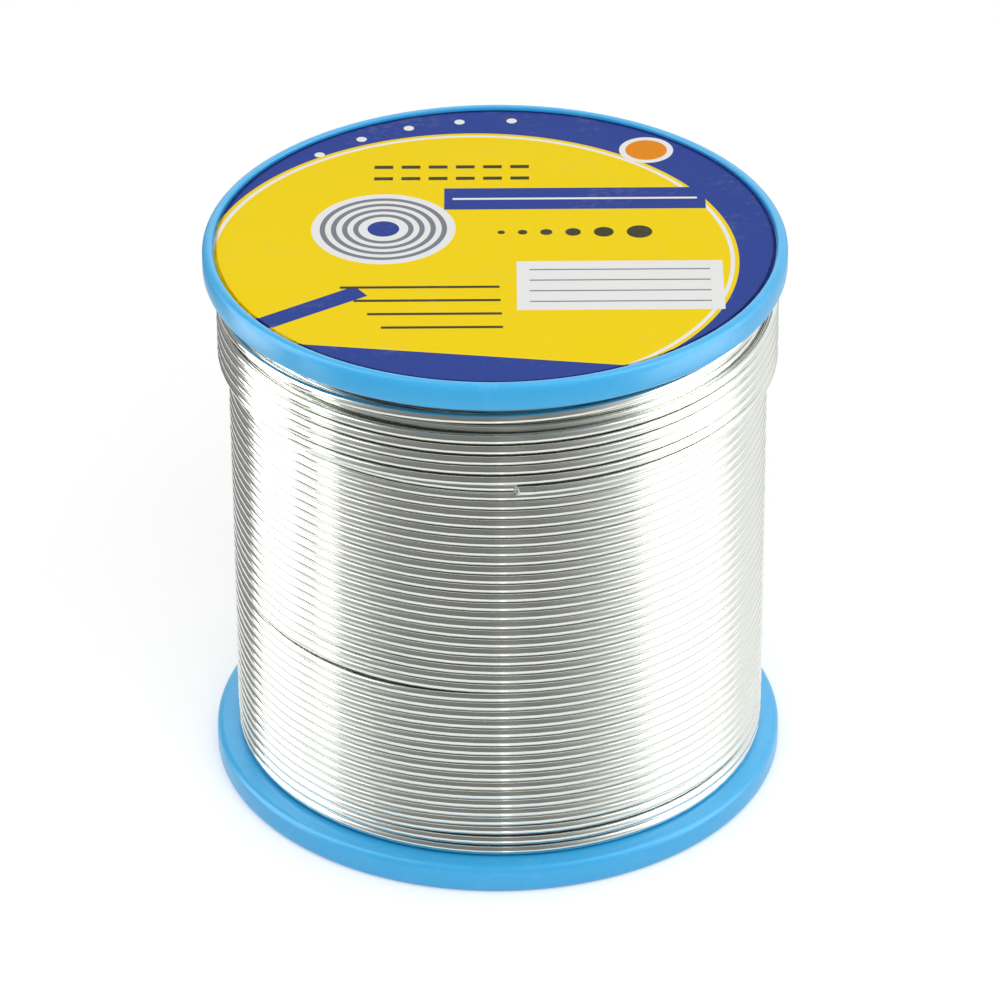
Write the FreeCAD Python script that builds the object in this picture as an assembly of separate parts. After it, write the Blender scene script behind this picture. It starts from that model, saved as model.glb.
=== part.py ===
import FreeCAD, Part

import math
import os

from FreeCAD import Vector

# A spool of solder wire, standing on its lower flange. All sizes are in millimetres.
# The origin is at the middle of the lower flange's outer face, with +Z up the bore.

# Spool: two mouldings, each a flange, half of the barrel and half of the bore tube
flange_diameter = 55.0
overall_height = 55.6
rim_height = 2.8
rim_chamfer = 0.6
rim_width = 1.0
recess_depth = 0.45
barrel_diameter = 26.5
barrel_wall = 2.0
bore_diameter = 12.0
bore_tube_wall = 1.5
hub_ribs = 6
hub_rib_thickness = 1.2
hub_rib_setback = 1.0

# Joint of the two halves: a spigot on the lower half, whose lugs snap into pockets in the upper half
spigot_length = 4.0
spigot_clearance = 0.1
spigot_end_clearance = 0.3
snap_lugs = 3
snap_lug_height = 0.3
snap_lug_length = 1.4
snap_lug_width = 6.0

# Wire
wire_diameter = 1.0
flux_core_diameter = 0.37
wound_setback = 1.9
winding_clearance = 0.1
turn_seat_clearance = 0.02

# Turns that are drawn: each stands for several real ones, which lie one wire apart
drawn_turn_count = 10
started_layer_width = 9.25
layer_gap = 0.42
wound_sides = 4

# Ends of the wire. Directions are degrees about +Z, counted from +X.
free_end_direction = -85.7
free_end_length = 4.0
start_hole_diameter = 2.0
start_hole_direction = 30.0
start_hole_rise = 1.6
start_bend_radius = 1.2
start_tail_length = 7.0
start_sides = 8

# Label
label_thickness = 0.15
label_clearance = 0.1

flange_radius = flange_diameter / 2
recess_radius = flange_radius - rim_width
barrel_radius = barrel_diameter / 2
barrel_inner_radius = barrel_radius - barrel_wall
bore_radius = bore_diameter / 2
bore_tube_radius = bore_radius + bore_tube_wall
wire_radius = wire_diameter / 2
wound_radius = flange_radius - wound_setback
joint_height = overall_height / 2
top_flange_inner = overall_height - rim_height
spigot_radius = (barrel_radius + barrel_inner_radius - spigot_clearance) / 2
socket_radius = spigot_radius + spigot_clearance
socket_depth = spigot_length + spigot_end_clearance

# Radii of the wire's centre line in the last full layer and in the started layer on top of it
full_layer_radius = wound_radius - wire_radius
started_layer_radius = full_layer_radius + wire_diameter + layer_gap
core_radius = full_layer_radius - wire_radius - turn_seat_clearance
core_inner_radius = barrel_radius + winding_clearance

Z_AXIS = Vector(0, 0, 1)
ORIGIN = Vector(0, 0, 0)


def turned(profile):
    """The solid of revolution about Z of a closed outline of (radius, height) points."""
    points = [Vector(radius, 0, height) for radius, height in profile]
    outline = Part.makePolygon(points + points[:1])
    return Part.Face(outline).revolve(ORIGIN, Z_AXIS, 360)


def flange_outline():
    """Outline of a flange below its inner face, from the barrel's bore round the rim to its inner face.

    Heights are counted from the flange's outer face.
    """
    return [
        (barrel_inner_radius, recess_depth),
        (recess_radius, recess_depth),
        (recess_radius, 0),
        (flange_radius - rim_chamfer, 0),
        (flange_radius, rim_chamfer),
        (flange_radius, rim_height - rim_chamfer),
        (flange_radius - rim_chamfer, rim_height),
    ]


def snap_lug_group(radius, clearance):
    """The snap lugs on a wall of a given radius, or with a clearance the pockets that they snap into.

    A lug has a long lead-in above and a short catch below, and starts inside the wall that carries it.
    """
    middle = joint_height + spigot_length / 2
    low = middle - snap_lug_length / 2 - clearance
    high = middle + snap_lug_length / 2 + clearance
    root = radius - snap_lug_height
    crown = radius + snap_lug_height
    crown_height = low + snap_lug_length / 4
    outline = [(root, low), (radius, low), (crown, crown_height), (radius, high), (root, high)]
    points = [Vector(point_radius, 0, height) for point_radius, height in outline]
    face = Part.Face(Part.makePolygon(points + points[:1]))
    width = math.degrees((snap_lug_width + 2 * clearance) / radius)
    lugs = []
    for index in range(snap_lugs):
        lug = face.revolve(ORIGIN, Z_AXIS, width)
        lug.rotate(ORIGIN, Z_AXIS, 360 * index / snap_lugs - width / 2)
        lugs.append(lug)
    return lugs


def hub_ribs_of_half():
    """Ribs between the bore tube and the barrel of one half, with the wall overlap that a moulding has."""
    overlap = bore_tube_wall / 2
    inner = bore_tube_radius - overlap
    length = barrel_inner_radius + overlap - inner
    height = joint_height - socket_depth - hub_rib_setback - recess_depth
    ribs = []
    for index in range(hub_ribs):
        corner = Vector(inner, -hub_rib_thickness / 2, recess_depth)
        rib = Part.makeBox(length, hub_rib_thickness, height, corner)
        rib.rotate(ORIGIN, Z_AXIS, 360 * index / hub_ribs)
        ribs.append(rib)
    return ribs


def half_moulding(barrel_end):
    """One half of the spool, standing on its flange's outer face, for a given outline of its barrel's end."""
    shell = turned(flange_outline() + [(barrel_radius, rim_height)] + barrel_end)
    tube = turned([
        (bore_radius, recess_depth),
        (bore_tube_radius, recess_depth),
        (bore_tube_radius, joint_height),
        (bore_radius, joint_height),
    ])
    return shell.multiFuse([tube] + hub_ribs_of_half()).removeSplitter()


def lower_half():
    """Lower half, with the spigot and its snap lugs, and the hole that holds the wire's start."""
    spigot_top = joint_height + spigot_length
    barrel_end = [
        (barrel_radius, joint_height),
        (spigot_radius, joint_height),
        (spigot_radius, spigot_top),
        (barrel_inner_radius, spigot_top),
    ]
    half = half_moulding(barrel_end).multiFuse(snap_lug_group(spigot_radius, 0))
    hole = Part.makeCylinder(
        start_hole_diameter / 2,
        barrel_wall * 2,
        Vector(barrel_inner_radius - barrel_wall / 2, 0, start_height()),
        Vector(1, 0, 0),
    )
    hole.rotate(ORIGIN, Z_AXIS, start_hole_direction)
    return half.cut(hole)


def upper_half():
    """Upper half, with the socket, turned over onto the lower one and cut with the pockets of its lugs."""
    socket_floor = joint_height - socket_depth
    barrel_end = [
        (barrel_radius, joint_height),
        (socket_radius, joint_height),
        (socket_radius, socket_floor),
        (barrel_inner_radius, socket_floor),
    ]
    half = half_moulding(barrel_end)
    half.rotate(ORIGIN, Vector(1, 0, 0), 180)
    half.translate(Vector(0, 0, overall_height))
    return half.cut(snap_lug_group(socket_radius, spigot_clearance))


def disc_label():
    """Printed disc label, stuck in the recess of the upper flange over the open hub."""
    radius = recess_radius - label_clearance
    base = Vector(0, 0, overall_height - recess_depth)
    return Part.makeCylinder(radius, label_thickness, base)


def wound_core():
    """The wire's inner layers, as the plain space that they fill round the barrel."""
    return turned([
        (core_inner_radius, rim_height),
        (core_radius, rim_height),
        (core_radius, top_flange_inner),
        (core_inner_radius, top_flange_inner),
    ])


def turn_spacing():
    """Height between two drawn turns of the full layer, apart from the climb at its top."""
    first = rim_height + winding_clearance + wire_radius
    last = top_flange_inner - winding_clearance - wire_radius
    # The wire rises by an eighth of a turn more where it turns back
    return (last - first) / (drawn_turn_count + 1 / 8)


class WirePath:
    """Centre line of the outer layer, up the full layer, over the climb and down the started layer.

    It is followed in quarter turns, clockwise seen from above, and ends where the wire runs straight.
    """

    def __init__(self):
        self.rise = turn_spacing() / 4
        self.full_quarters = drawn_turn_count * 4
        self.climb_quarters = 2
        self.first_height = rim_height + winding_clearance + wire_radius
        self.last_height = top_flange_inner - started_layer_width + wire_radius
        drop = self.first_height + self.rise * self.full_quarters - self.last_height
        self.started_quarters = round(drop / self.rise)
        self.started_fall = drop / self.started_quarters
        self.quarters = self.full_quarters + self.climb_quarters + self.started_quarters
        straight = wire_diameter + free_end_length
        self.last_angle = free_end_direction + math.degrees(math.atan(straight / started_layer_radius))

    def radius(self, quarter):
        """Radius of the centre line after a number of quarter turns."""
        share = (quarter - self.full_quarters) / self.climb_quarters
        share = min(max(share, 0), 1)
        eased = share * share * (3 - 2 * share)
        return full_layer_radius + (started_layer_radius - full_layer_radius) * eased

    def height(self, quarter):
        """Height of the centre line after a number of quarter turns."""
        if quarter <= self.full_quarters:
            return self.first_height + self.rise * quarter
        turning = min(quarter - self.full_quarters, self.climb_quarters)
        height = self.first_height + self.rise * self.full_quarters
        height += self.rise * (turning - turning * turning / self.climb_quarters)
        return height - self.started_fall * max(quarter - self.full_quarters - self.climb_quarters, 0)

    def point(self, quarter):
        """Point of the centre line after a number of quarter turns."""
        angle = math.radians(self.last_angle + 90 * (self.quarters - quarter))
        radius = self.radius(quarter)
        return Vector(radius * math.cos(angle), radius * math.sin(angle), self.height(quarter))

    def direction(self, quarter):
        """Unit direction of the wire after a number of quarter turns."""
        step = 0.001
        direction = self.point(quarter + step).sub(self.point(quarter - step))
        direction.normalize()
        return direction

    def least_gap(self):
        """Least gap between two stretches of the wire that are over half a turn apart."""
        samples_per_quarter = 6
        count = self.quarters * samples_per_quarter
        points = [self.point(index / samples_per_quarter) for index in range(count + 1)]
        skipped = 2 * samples_per_quarter + 1
        least = min(
            point.distanceToPoint(other)
            for index, point in enumerate(points)
            for other in points[index + skipped:]
        )
        return least - wire_diameter


def arc_between(start, corner, end):
    """Circular arc from start to end whose two tangents meet at a corner."""
    half_turn = corner.sub(start).getAngle(end.sub(corner)) / 2
    weight = math.cos(half_turn)
    middle = (start + end + corner * (2 * weight)) * (1 / (2 + 2 * weight))
    return Part.Arc(start, middle, end).toShape()


def biarc(start, start_direction, end, end_direction):
    """Two arcs that join two points, each with its direction, and meet without a kink."""
    chord = end.sub(start)
    square = 2 * (start_direction.dot(end_direction) - 1)
    linear = -2 * chord.dot(start_direction + end_direction)
    root = math.sqrt(linear * linear - 4 * square * chord.dot(chord))
    reach = (-linear - root) / (2 * square)
    first_corner = start + start_direction * reach
    second_corner = end - end_direction * reach
    joint = (first_corner + second_corner) * 0.5
    return [arc_between(start, first_corner, joint), arc_between(joint, second_corner, end)]


def wire_section(centre, direction, outwards, sides):
    """Closed section of the wire, square to its direction, with a corner that points outwards."""
    sideways = direction.cross(outwards)
    corners = []
    for side in range(sides):
        angle = 2 * math.pi * side / sides
        reach = outwards * math.cos(angle) + sideways * math.sin(angle)
        corners.append(centre + reach * wire_radius)
    return Part.makePolygon(corners + corners[:1])


def piped(edges, section):
    """A solid with one section along a chain of edges."""
    pipe = Part.BRepOffsetAPI.MakePipeShell(Part.Wire(edges))
    pipe.add(section)
    pipe.build()
    pipe.makeSolid()
    return pipe.shape()


def wound_outer(path):
    """The outer layer as one unbroken wire, with a straight run of one diameter at each end."""
    first = path.point(0)
    first_direction = path.direction(0)
    last = path.point(path.quarters)
    last_direction = path.direction(path.quarters)
    start = first - first_direction * wire_diameter
    end = last + last_direction * wire_diameter
    edges = [Part.makeLine(start, first)]
    for quarter in range(path.quarters):
        here = path.point(quarter)
        there = path.point(quarter + 1)
        edges += biarc(here, path.direction(quarter), there, path.direction(quarter + 1))
    edges.append(Part.makeLine(last, end))
    outwards = Vector(first.x, first.y, 0)
    outwards.normalize()
    return piped(edges, wire_section(start, first_direction, outwards, wound_sides))


def free_end(path):
    """The wire's cut end, a straight round stub, and the flux that fills its core."""
    direction = path.direction(path.quarters)
    start = path.point(path.quarters) + direction * wire_diameter
    wire = Part.makeCylinder(wire_radius, free_end_length, start, direction)
    flux = Part.makeCylinder(flux_core_diameter / 2, free_end_length, start, direction)
    return wire.cut(flux), flux


def start_height():
    """Height of the hole in the barrel that holds the wire's start."""
    return rim_height + start_hole_rise


def start_tail():
    """The wire's start, from the innermost layer in through the barrel's hole and up inside the hub."""
    height = start_height()
    upright_radius = (barrel_inner_radius + bore_tube_radius) / 2
    outer = Vector(core_inner_radius - winding_clearance / 2, 0, height)
    bend_start = Vector(upright_radius + start_bend_radius, 0, height)
    corner = Vector(upright_radius, 0, height)
    bend_end = Vector(upright_radius, 0, height + start_bend_radius)
    end = Vector(upright_radius, 0, height + start_tail_length)
    edges = [
        Part.makeLine(outer, bend_start),
        arc_between(bend_start, corner, bend_end),
        Part.makeLine(bend_end, end),
    ]
    tail = piped(edges, wire_section(outer, Vector(-1, 0, 0), Z_AXIS, start_sides))
    tail.rotate(ORIGIN, Z_AXIS, start_hole_direction)
    return tail


def save(name, shape):
    """Write one sub-part and print its volume."""
    if not shape.isValid():
        raise ValueError(name + " isn't a valid shape")
    shape.exportStep(os.path.join("parts", name + ".step"))
    print(name, len(shape.Solids), "solid", round(shape.Volume, 1), "mm3")


os.makedirs("parts", exist_ok=True)
path = WirePath()
end_wire, end_flux = free_end(path)
save("spool_lower_half", lower_half())
save("spool_upper_half", upper_half())
save("disc_label", disc_label())
save("wound_wire_core", wound_core())
save("wound_wire_outer", wound_outer(path))
save("wire_free_end", end_wire)
save("flux_core", end_flux)
save("wire_start_tail", start_tail())
print("least gap between drawn turns", round(path.least_gap(), 3), "mm")
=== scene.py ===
"""A spool of solder wire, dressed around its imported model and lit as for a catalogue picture."""

import logging
import math
from collections.abc import Callable, Sequence
from dataclasses import dataclass
from enum import Enum

import bmesh
import bpy
from mathutils import Matrix, Vector


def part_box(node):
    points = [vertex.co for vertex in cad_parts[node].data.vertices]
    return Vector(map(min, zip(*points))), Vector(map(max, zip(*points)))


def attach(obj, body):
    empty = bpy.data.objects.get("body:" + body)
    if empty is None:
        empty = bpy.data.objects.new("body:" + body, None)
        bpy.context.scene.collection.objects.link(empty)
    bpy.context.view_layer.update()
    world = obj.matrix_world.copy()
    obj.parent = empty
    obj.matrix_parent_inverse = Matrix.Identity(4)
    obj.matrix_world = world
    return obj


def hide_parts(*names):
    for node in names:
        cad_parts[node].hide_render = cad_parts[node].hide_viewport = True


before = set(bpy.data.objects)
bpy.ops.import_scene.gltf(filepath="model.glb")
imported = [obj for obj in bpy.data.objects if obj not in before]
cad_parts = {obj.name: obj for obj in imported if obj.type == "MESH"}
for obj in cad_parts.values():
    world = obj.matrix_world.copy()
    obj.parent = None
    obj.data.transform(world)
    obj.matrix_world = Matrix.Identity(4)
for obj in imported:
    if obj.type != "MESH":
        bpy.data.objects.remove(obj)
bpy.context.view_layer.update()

LOG = logging.getLogger("solder_spool")
MM = 0.001
ORIGIN = (0.0, 0.0, 0.0)

Colour = tuple[float, float, float, float]
Stations = tuple[tuple[float, float], ...]


def deselect_all() -> None:
    """Leave nothing selected, so that an operator acts on the new primitive alone."""
    if bpy.context.object and bpy.context.object.mode != "OBJECT":
        bpy.ops.object.mode_set(mode="OBJECT")
    bpy.ops.object.select_all(action="DESELECT")


def activate(*pieces: bpy.types.Object) -> None:
    """Select some objects and make the first one active.

    Args:
        *pieces: The objects to select.
    """
    deselect_all()
    for piece in pieces:
        piece.select_set(True)
    bpy.context.view_layer.objects.active = pieces[0]


def add_object(name: str, data: bpy.types.ID) -> bpy.types.Object:
    """Put a new object into the scene.

    Args:
        name: Its name.
        data: Its curve, lamp or camera.

    Returns:
        The object.
    """
    thing = bpy.data.objects.new(name, data)
    bpy.context.collection.objects.link(thing)
    return thing


def turned(place: Vector, angle: float) -> Vector:
    """Turn a place about the Z axis by an angle in radians."""
    return Matrix.Rotation(angle, 3, "Z") @ place


def smooth_step(share: float) -> float:
    """Ease from 0 to 1 as a share goes from 0 to 1."""
    held = min(max(share, 0.0), 1.0)
    return held * held * (3 - 2 * held)


def soft_line(stations: Stations, place: float, soft: float) -> float:
    """Read a chain of straight runs, with its corners rounded.

    Args:
        stations: Place and value of each corner, in rising order of place.
        place: Where it is read.
        soft: How far from a corner the rounding reaches.

    Returns:
        The value there.
    """
    total = 0.0
    for shift in (-soft, 0.0, soft):
        held = min(max(place + shift, stations[0][0]), stations[-1][0])
        for (near, low), (far, high) in zip(stations, stations[1:]):
            if near <= held <= far:
                total += low + (high - low) * (held - near) / (far - near)
                break
    return total / 3


def ink(red: int, green: int, blue: int) -> Colour:
    """Turn a colour as it looks on a screen into the linear one that a shader takes.

    Args:
        red: Red from 0 to 255.
        green: Green from 0 to 255.
        blue: Blue from 0 to 255.

    Returns:
        The linear colour, with an alpha of 1.
    """
    shares = (red / 255, green / 255, blue / 255)
    linear = [share / 12.92 if share <= 0.04045 else ((share + 0.055) / 1.055) ** 2.4 for share in shares]
    return (*linear, 1.0)


class Workpiece:
    """A mesh that is shaped in edit mode with Blender's own operators."""

    height_margin = 0.01 * MM
    radius_margin = 0.03 * MM
    level_from = 0.9

    def __init__(self, name: str) -> None:
        """Take the primitive that was just added.

        Args:
            name: The object's name.
        """
        self.thing = bpy.context.object
        self.thing.name = name
        bpy.ops.object.transform_apply(location=True, rotation=True, scale=True)
        bpy.ops.object.mode_set(mode="EDIT")
        bpy.ops.mesh.select_all(action="DESELECT")

    @classmethod
    def cylinder(cls, name: str, radius: float, low: float, high: float, sides: int) -> "Workpiece":
        """Start from a cylinder that stands about the Z axis.

        Args:
            name: The object's name.
            radius: The cylinder's radius.
            low: Height of its lower face.
            high: Height of its upper face.
            sides: Number of its sides.

        Returns:
            The cylinder in edit mode, with nothing selected.
        """
        deselect_all()
        middle = (0, 0, (low + high) / 2)
        bpy.ops.mesh.primitive_cylinder_add(vertices=sides, radius=radius, depth=high - low, location=middle)
        return cls(name)

    def select(self, kind: str, wanted: Callable[[object], bool]) -> None:
        """Select the elements of one kind that pass a test, and nothing else.

        Args:
            kind: VERT, EDGE or FACE.
            wanted: Says of an element whether it is selected.
        """
        bpy.ops.mesh.select_all(action="DESELECT")
        bpy.ops.mesh.select_mode(type=kind)
        edited = bmesh.from_edit_mesh(self.thing.data)
        for element in {"VERT": edited.verts, "EDGE": edited.edges, "FACE": edited.faces}[kind]:
            if wanted(element):
                element.select_set(True)
        edited.select_flush_mode()
        bmesh.update_edit_mesh(self.thing.data)

    def select_flat(self, height: float, facing: int) -> None:
        """Select the flat faces at one height that face up or down.

        Args:
            height: The faces' height.
            facing: 1 for up and -1 for down.
        """
        def wanted(face: bmesh.types.BMFace) -> bool:
            """Whether a face lies at that height and faces that way."""
            level = abs(face.calc_center_median().z - height) < self.height_margin
            return level and face.normal.z * facing > self.level_from

        self.select("FACE", wanted)

    def inset(self, width: float) -> "Workpiece":
        """Inset the selected face by a width, and leave its middle selected."""
        bpy.ops.mesh.inset(thickness=width, depth=0, use_even_offset=True)
        return self

    def raise_by(self, height: float) -> "Workpiece":
        """Extrude the selected face along Z, or down for a negative height."""
        bpy.ops.mesh.extrude_region_move(TRANSFORM_OT_translate={"value": (0, 0, height)})
        return self

    def round_off(self, circles: Sequence[tuple[float, float]], rounding: float, steps: int) -> None:
        """Round the edges that run round the Z axis on given circles.

        Args:
            circles: Radius and height of each circle.
            rounding: Width of the rounding on each side of the edge.
            steps: Number of faces across it.
        """
        def on_circle(point: bmesh.types.BMVert, radius: float, height: float) -> bool:
            """Whether a point lies on a circle."""
            off_radius = abs(point.co.xy.length - radius)
            return off_radius < self.radius_margin and abs(point.co.z - height) < self.height_margin

        def wanted(edge: bmesh.types.BMEdge) -> bool:
            """Whether both ends of an edge lie on one of the circles."""
            return any(all(on_circle(point, *circle) for point in edge.verts) for circle in circles)

        self.select("EDGE", wanted)
        bpy.ops.mesh.bevel(offset=rounding, segments=steps, affect="EDGES", clamp_overlap=True)

    def pierce(self, low: float, high: float, reach: float) -> None:
        """Open a round hole between two flat discs.

        Args:
            low: Height of the lower disc, which faces down.
            high: Height of the upper disc, which faces up.
            reach: A radius just over that of both discs.
        """
        def wanted(face: bmesh.types.BMFace) -> bool:
            """Tell the two discs from the other faces.

            Args:
                face: A face of the solid.

            Returns:
                Whether it is one of the discs.
            """
            height = face.calc_center_median().z
            level = min(abs(height - low), abs(height - high)) < self.height_margin
            return level and all(point.co.xy.length < reach for point in face.verts)

        self.select("FACE", wanted)
        bpy.ops.mesh.bridge_edge_loops()

    def done(self) -> bpy.types.Object:
        """Leave edit mode, and give the object."""
        bpy.ops.object.mode_set(mode="OBJECT")
        return self.thing


def combine(target: bpy.types.Object, tool: bpy.types.Object, operation: str) -> None:
    """Add one solid to another or cut it out, and remove the tool.

    Args:
        target: The solid that stays.
        tool: The solid that is added or cut out.
        operation: UNION or DIFFERENCE.
    """
    activate(target)
    cut = target.modifiers.new("cut", "BOOLEAN")
    cut.operation = operation
    cut.solver = "EXACT"
    cut.object = tool
    bpy.ops.object.modifier_apply(modifier=cut.name)
    bpy.data.objects.remove(tool)


def shade(piece: bpy.types.Object, degrees: float) -> None:
    """Shade a piece smooth, apart from its edges that are sharper than an angle."""
    activate(piece)
    bpy.ops.object.shade_smooth_by_angle(angle=math.radians(degrees))


def dress(piece: bpy.types.Object, name: str, material: bpy.types.Material, node: str) -> None:
    """Name a finished piece, give it its finish and tie it to the frame.

    Args:
        piece: The piece, with its place in its mesh.
        name: The piece's name.
        material: The finish.
        node: The node that it replaces.
    """
    piece.name = name
    piece.data.name = name
    piece.data.materials.clear()
    piece.data.materials.append(material)
    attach(piece, "root")
    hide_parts(node)
    LOG.info("%s: %d faces, for %s", name, len(piece.data.polygons), node)


class Graph:
    """A node tree under construction, with short calls that add nodes and join them."""

    def __init__(self, tree: bpy.types.NodeTree) -> None:
        """Take the tree."""
        self.tree = tree

    def feed(self, socket: bpy.types.NodeSocket, value: object) -> None:
        """Set an input, or join another node's output to it.

        Args:
            socket: The input.
            value: A plain value, or the output to join.
        """
        if isinstance(value, bpy.types.NodeSocket):
            self.tree.links.new(value, socket)
        else:
            socket.default_value = value

    def add(self, kind: str, inputs: dict | None = None, **settings: object) -> bpy.types.Node:
        """Add a node.

        Args:
            kind: The node's type.
            inputs: Values or sockets for its inputs, by name or number.
            **settings: Its own settings.

        Returns:
            The node.
        """
        node = self.tree.nodes.new(kind)
        for key, value in settings.items():
            setattr(node, key, value)
        for key, value in (inputs or {}).items():
            self.feed(node.inputs[key], value)
        return node

    def value(self, kind: str, inputs: dict | None = None, **settings: object) -> bpy.types.NodeSocket:
        """Add a node, and give its first output."""
        return self.add(kind, inputs, **settings).outputs[0]

    def math(self, operation: str, first: object, second: object, **settings: object) -> bpy.types.NodeSocket:
        """Add a sum of two values, and give its result."""
        return self.value("ShaderNodeMath", {0: first, 1: second}, operation=operation, **settings)

    def spread(self, value: bpy.types.NodeSocket, low: float, high: float) -> bpy.types.NodeSocket:
        """Stretch a value from 0 to 1 over another range."""
        return self.value("ShaderNodeMapRange", {"Value": value, "To Min": low, "To Max": high})

    def seen_share(self) -> bpy.types.NodeSocket:
        """Tell the rays that show the backdrop from those that light the spool.

        Returns:
            1 for a ray from the camera, a mirroring surface or a clear one, and 0 for any other.
        """
        rays = self.add("ShaderNodeLightPath").outputs
        either = self.math("MAXIMUM", rays["Is Camera Ray"], rays["Is Glossy Ray"])
        return self.math("MAXIMUM", either, rays["Is Transmission Ray"])


class Effect(Graph):
    """A shared effect under construction: a shader node group with named inputs and one output."""

    def __init__(self, name: str, inputs: dict[str, float | None], output: str) -> None:
        """Start a group.

        Args:
            name: The group's name.
            inputs: Each input's default value, or None for a place.
            output: The output's name.
        """
        super().__init__(bpy.data.node_groups.new(name, "ShaderNodeTree"))
        for key, value in inputs.items():
            kind = "NodeSocketVector" if value is None else "NodeSocketFloat"
            socket = self.tree.interface.new_socket(name=key, in_out="INPUT", socket_type=kind)
            if value is not None:
                socket.default_value = value
        self.tree.interface.new_socket(name=output, in_out="OUTPUT", socket_type="NodeSocketFloat")
        self.given = self.add("NodeGroupInput").outputs
        self.exit = self.add("NodeGroupOutput")

    def edge_of_ink(self, first: object, second: object) -> bpy.types.NodeTree:
        """Close the group with the mask of a mark whose edge is where the larger of two distances is 0."""
        edge = self.math("DIVIDE", self.math("MAXIMUM", first, second), self.given["Softness"])
        return self.close(self.math("SUBTRACT", 0.5, edge, use_clamp=True))

    def close(self, result: bpy.types.NodeSocket) -> bpy.types.NodeTree:
        """Join what the group gives to its output, and give the group."""
        self.feed(self.exit.inputs[0], result)
        return self.tree


class Finish(Graph):
    """A material under construction, around one Principled BSDF."""

    def __init__(self, name: str) -> None:
        """Start a material.

        Args:
            name: The material's name.
        """
        self.material = bpy.data.materials.new(name)
        self.material.use_nodes = True
        super().__init__(self.material.node_tree)
        self.surface = self.tree.nodes["Principled BSDF"]

    def place(self) -> bpy.types.NodeSocket:
        """Give the place on the object."""
        return self.add("ShaderNodeTexCoord").outputs["Object"]

    def group(self, tree: bpy.types.NodeTree, **inputs: object) -> bpy.types.NodeSocket:
        """Place a shared effect with its inputs, and give its output."""
        named = {key.replace("_", " "): value for key, value in inputs.items()}
        return self.value("ShaderNodeGroup", named, node_tree=tree)

    def mix(self, share: object, first: object, second: object, blend: str = "MIX") -> bpy.types.NodeSocket:
        """Lay a share of a second colour on a first one, and give the result."""
        colours = {0: share, 6: first, 7: second}
        return self.add("ShaderNodeMix", colours, data_type="RGBA", blend_type=blend).outputs[2]

    def bump(self, height: bpy.types.NodeSocket, depth: float, **below: object) -> bpy.types.NodeSocket:
        """Turn a height from 0 to 1 into a normal, on top of the Normal of a coarser relief."""
        return self.value("ShaderNodeBump", {"Height": height, "Strength": 1.0, "Distance": depth, **below})

    def set(self, **values: object) -> None:
        """Set the Principled BSDF's inputs, with underscores for the spaces in their names."""
        for key, value in values.items():
            self.feed(self.surface.inputs[key.replace("_", " ")], value)

    def glow(self, shader: bpy.types.NodeSocket) -> bpy.types.Material:
        """Show a glowing shader instead of the Principled BSDF, and don't sample it as a lamp.

        Args:
            shader: The shader's output.

        Returns:
            The finished material.
        """
        self.feed(self.tree.nodes["Material Output"].inputs["Surface"], shader)
        self.material.cycles.emission_sampling = "NONE"
        return self.material


def grain_effect() -> bpy.types.NodeTree:
    """Make fine uneven grain, as on moulded plastic, coated paper and drawn wire.

    Returns:
        The group, which gives a height from 0 to 1.
    """
    effect = Effect("Fine grain", {"Place": None, "Scale": 1000.0, "Roughness": 0.6}, "Height")
    place, scale, roughness = [effect.given[key] for key in ("Place", "Scale", "Roughness")]
    inputs = {"Vector": place, "Scale": scale, "Detail": 4.0, "Roughness": roughness}
    return effect.close(effect.value("ShaderNodeTexNoise", inputs))


def scuff_effect() -> bpy.types.NodeTree:
    """Make the sparse rubbed patches that handling leaves.

    Returns:
        The group, which gives a mask from 0 to 1.
    """
    effect = Effect("Scuffs", {"Place": None, "Scale": 100.0, "Amount": 0.5}, "Mask")
    place = effect.given["Place"]
    scale = effect.given["Scale"]
    broad = effect.value("ShaderNodeTexNoise", {"Vector": place, "Scale": scale, "Detail": 3.0})
    finer = effect.math("MULTIPLY", scale, 6.0)
    patches = effect.value("ShaderNodeTexNoise", {"Vector": place, "Scale": finer, "Detail": 5.0})
    together = effect.math("MULTIPLY", broad, patches)
    edges = {"Value": together, "From Min": 0.27, "From Max": 0.42}
    shown = effect.value("ShaderNodeMapRange", edges, interpolation_type="SMOOTHSTEP")
    return effect.close(effect.math("MULTIPLY", shown, effect.given["Amount"]))


PRINT_SOFTNESS = 0.04 * MM


def disc_mark_effect() -> bpy.types.NodeTree:
    """Make a round printed mark with an open or filled middle.

    Returns:
        The group, which gives the ink's mask.
    """
    inputs = {"Place": None, "X": 0.0, "Y": 0.0, "Outer": 1.0, "Inner": -1.0, "Softness": PRINT_SOFTNESS}
    effect = Effect("Round mark", inputs, "Mask")
    given = effect.given
    split = effect.add("ShaderNodeSeparateXYZ", {0: given["Place"]}).outputs
    across = effect.math("SUBTRACT", split[0], given["X"])
    along = effect.math("SUBTRACT", split[1], given["Y"])
    squares = [effect.math("MULTIPLY", side, side) for side in (across, along)]
    distance = effect.math("SQRT", effect.math("ADD", *squares), 0.0)
    outside = effect.math("SUBTRACT", distance, given["Outer"])
    inside = effect.math("SUBTRACT", given["Inner"], distance)
    return effect.edge_of_ink(outside, inside)


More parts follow.
